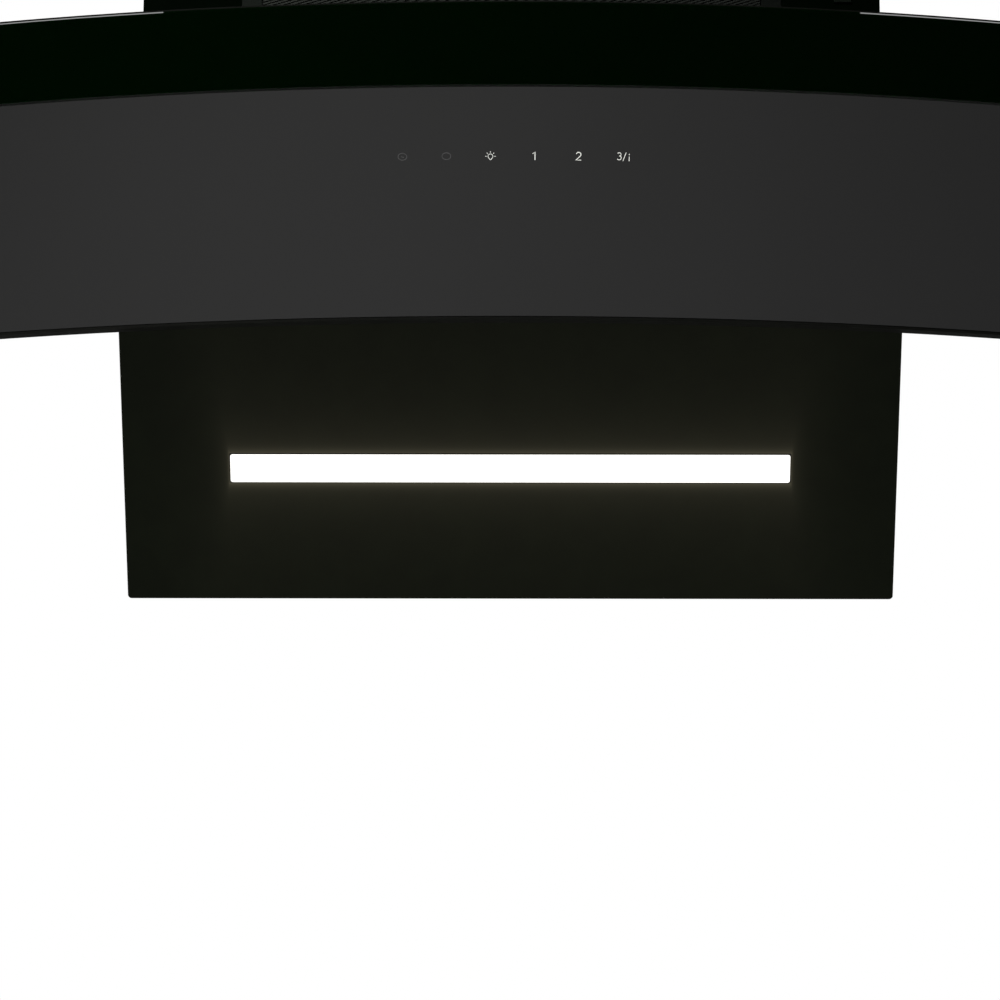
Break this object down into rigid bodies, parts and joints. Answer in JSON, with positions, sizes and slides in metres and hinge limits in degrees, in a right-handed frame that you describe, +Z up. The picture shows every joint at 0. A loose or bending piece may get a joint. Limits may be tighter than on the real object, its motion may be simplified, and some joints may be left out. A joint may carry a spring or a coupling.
{
  "type": "angled wall range hood",
  "caption": "Wall hood with a leaning lamp panel, a curved black glass visor with touch keys, a tipping grease filter, an inner blower and a telescopic chimney cover.",
  "frame": {"origin": "middle of the wall fixing holes, on the wall plane and the plane of symmetry", "axes": "+Z up, +Y into the wall, +X to the right when facing the hood"},
  "size_m": [0.899, 0.512, 0.985],
  "materials": {
    "black_paint": "satin black paint",
    "post_black": "satin black paint",
    "zinc_sheet": "zinc coated sheet",
    "touch_glass_black": "back painted black glass",
    "fascia_glass_black": "back painted black glass, polished bevel",
    "frame_black": "satin black powder coat",
    "filter_aluminium": "black anodised aluminium",
    "mesh_aluminium": "black anodised expanded aluminium",
    "bright_steel": "bright steel",
    "dark_steel": "blackened steel",
    "opal_plastic": "opal diffuser",
    "circuit_board": "circuit board",
    "black_plastic": "moulded black plastic",
    "grey_plastic": "moulded grey plastic",
    "motor_steel": "motor can",
    "lamp_aluminium": "plain aluminium"
  },
  "bodies": {
    "casing": {"back_panel": "zinc_sheet", "side_plate_left": "black_paint", "side_plate_right": "black_paint", "bottom_plate": "black_paint", "lamp_panel": "black_paint", "shelf_plate": "black_paint", "chamber_floor": "zinc_sheet", "top_plate": "black_paint", "post_left": "post_black", "post_right": "post_black", "sill_plate": "black_paint", "header_plate": "black_paint", "catch_plate": "dark_steel", "filter_rod": "bright_steel", "filter_pivots": "black_plastic", "filter_stops": "black_plastic", "drip_tray": "zinc_sheet", "led_diffuser": "opal_plastic", "led_channel": "lamp_aluminium", "led_board": "circuit_board", "led_driver": "grey_plastic", "control_box": "grey_plastic", "control_lid": "grey_plastic", "power_board": "circuit_board", "terminal_block": "grey_plastic", "cable_gland": "black_plastic", "scroll_left": "black_plastic", "scroll_right": "black_plastic", "motor": "motor_steel", "motor_bracket": "zinc_sheet", "motor_screws": "bright_steel", "outlet_collar": "black_plastic", "damper_rod": "bright_steel", "collar_screws": "bright_steel", "chimney_lower": "black_paint", "chimney_feet": "zinc_sheet", "chimney_screws": "bright_steel", "visor_bracket_left": "black_paint", "visor_bracket_right": "black_paint", "visor_pins": "bright_steel", "bracket_screws": "bright_steel"},
    "visor": {"touch_glass": "touch_glass_black", "fascia_glass": "fascia_glass_black", "visor_frame": "frame_black", "visor_end_left": "frame_black", "visor_end_right": "frame_black", "touch_board": "circuit_board", "touch_cover": "black_plastic", "touch_springs": "bright_steel"},
    "filter": {"filter_frame": "filter_aluminium", "filter_mesh": "mesh_aluminium", "filter_handle_pads": "black_plastic"},
    "filter_bail": {"filter_handle": "bright_steel"},
    "impeller": {"impeller_wheel": "black_plastic", "motor_shaft": "bright_steel"},
    "flap_back": {"damper_flap_back": "black_plastic"},
    "flap_front": {"damper_flap_front": "black_plastic"},
    "chimney_slider": {"chimney_upper": "black_paint", "chimney_bar": "zinc_sheet"}
  },
  "joints": [
    {"name": "visor_tilt", "type": "hinge", "parent": "casing", "child": "visor", "pos_m": [0, -0.36945, -0.20949], "axis": [1, 0, 0], "range_deg": [0, 40]},
    {"name": "filter_tip", "type": "hinge", "parent": "casing", "child": "filter", "pos_m": [0, -0.2185, -0.063], "axis": [1, 0, 0], "range_deg": [0, 35]},
    {"name": "handle_swing", "type": "hinge", "parent": "filter", "child": "filter_bail", "pos_m": [0, -0.227, 0.212], "axis": [-1, 0, 0], "range_deg": [0, 100]},
    {"name": "impeller_spin", "type": "hinge", "parent": "casing", "child": "impeller", "pos_m": [0, -0.112, 0.125], "axis": [1, 0, 0], "continuous": true},
    {"name": "flap_back_swing", "type": "hinge", "parent": "casing", "child": "flap_back", "pos_m": [0, -0.089, 0.3], "axis": [1, 0, 0], "range_deg": [0, 75]},
    {"name": "flap_front_swing", "type": "hinge", "parent": "casing", "child": "flap_front", "pos_m": [0, -0.089, 0.3], "axis": [-1, 0, 0], "range_deg": [0, 75]},
    {"name": "chimney_slide", "type": "slide", "parent": "casing", "child": "chimney_slider", "axis": [0, 0, 1], "range_m": [0, 0.25]}
  ]
}
